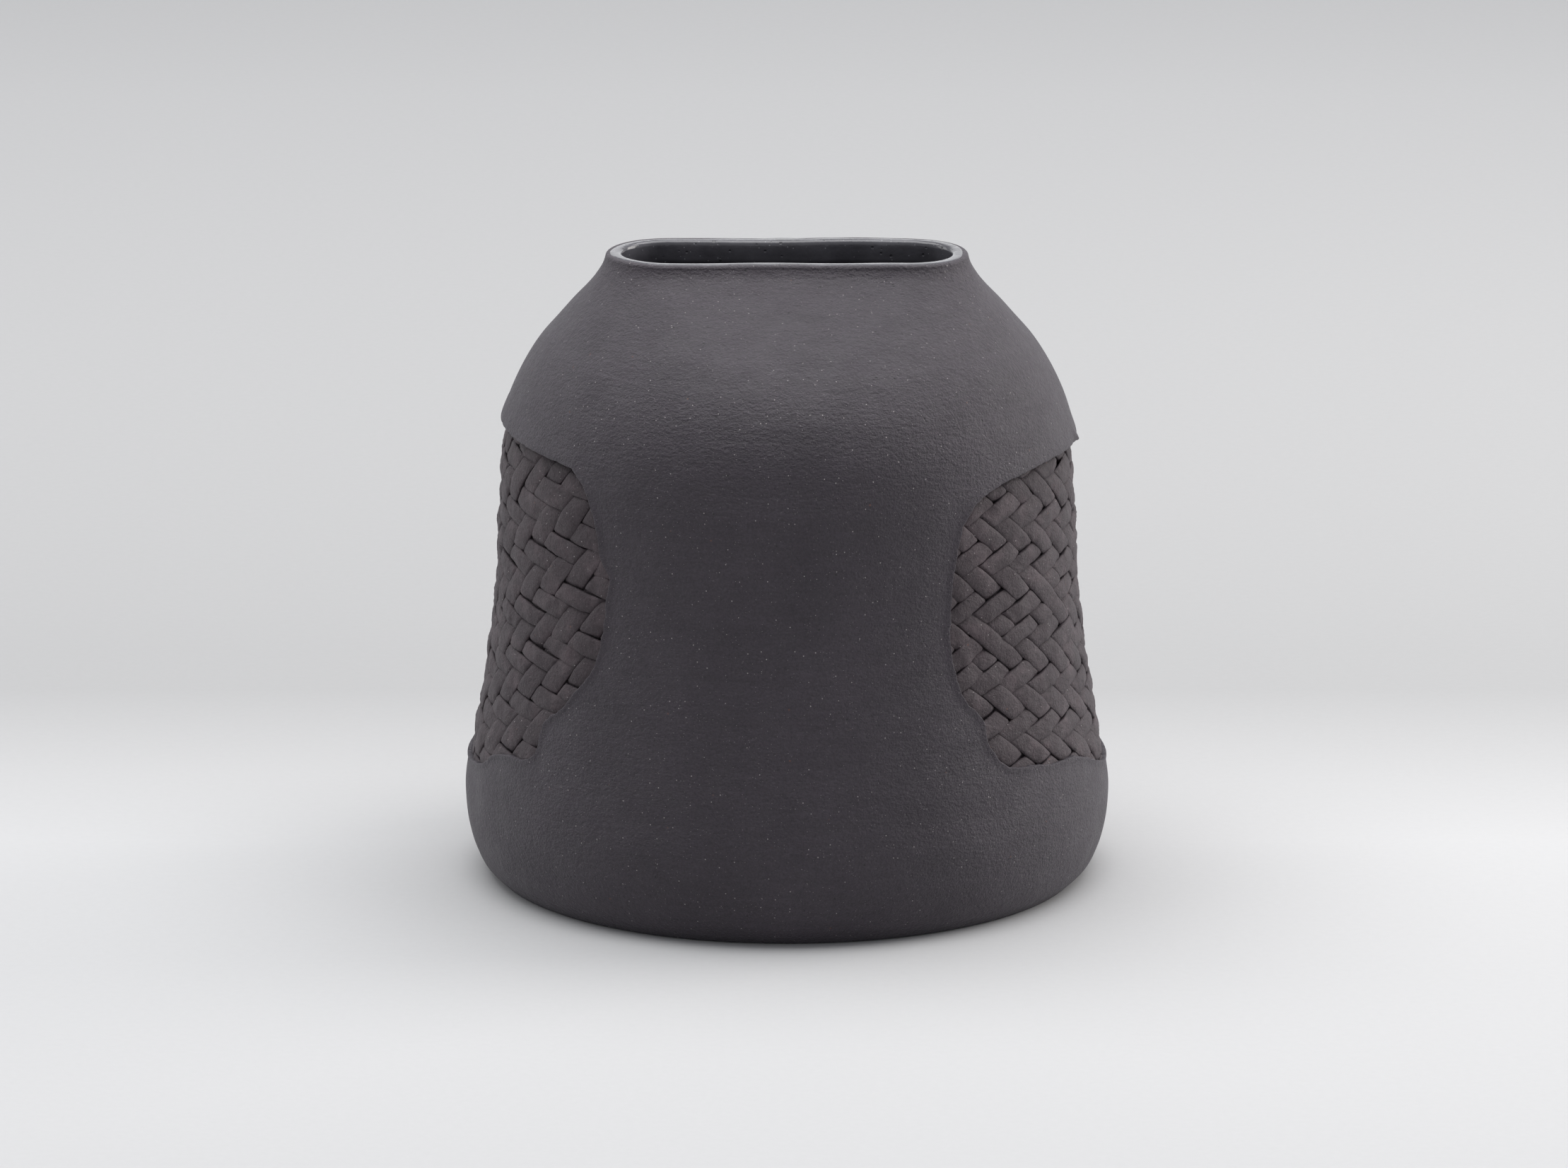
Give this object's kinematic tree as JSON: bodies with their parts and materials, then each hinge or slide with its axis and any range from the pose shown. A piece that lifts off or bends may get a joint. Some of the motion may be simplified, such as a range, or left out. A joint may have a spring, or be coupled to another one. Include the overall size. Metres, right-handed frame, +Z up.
{
  "type": "hand-built clay pot",
  "caption": "Black clay pot with a round flat-bottomed body, a slot mouth, and a smooth skin torn open at both sides over woven clay strips.",
  "frame": {"origin": "centre of the flat foot, on the surface the pot stands on", "axes": "+Z up through the mouth; X along the length of the slot mouth; front towards -Y"},
  "size_m": [0.1518, 0.1518, 0.1488],
  "materials": {
    "black_clay": "matte, fine sandy body",
    "burnished_skin": "smooth matte with fine pale specks",
    "clay_strips": "matte, pressed strips",
    "clear_dark_glaze": "glossy"
  },
  "bodies": {
    "root": {"floor_slab": "black_clay", "body_wall": "black_clay", "shoulder_wall": "black_clay", "rim_coil": "black_clay", "outer_skin": "burnished_skin", "left_level_strips": "clay_strips", "left_rising_strips": "clay_strips", "right_level_strips": "clay_strips", "right_rising_strips": "clay_strips", "interior_glaze": "clear_dark_glaze"}
  },
  "joints": []
}
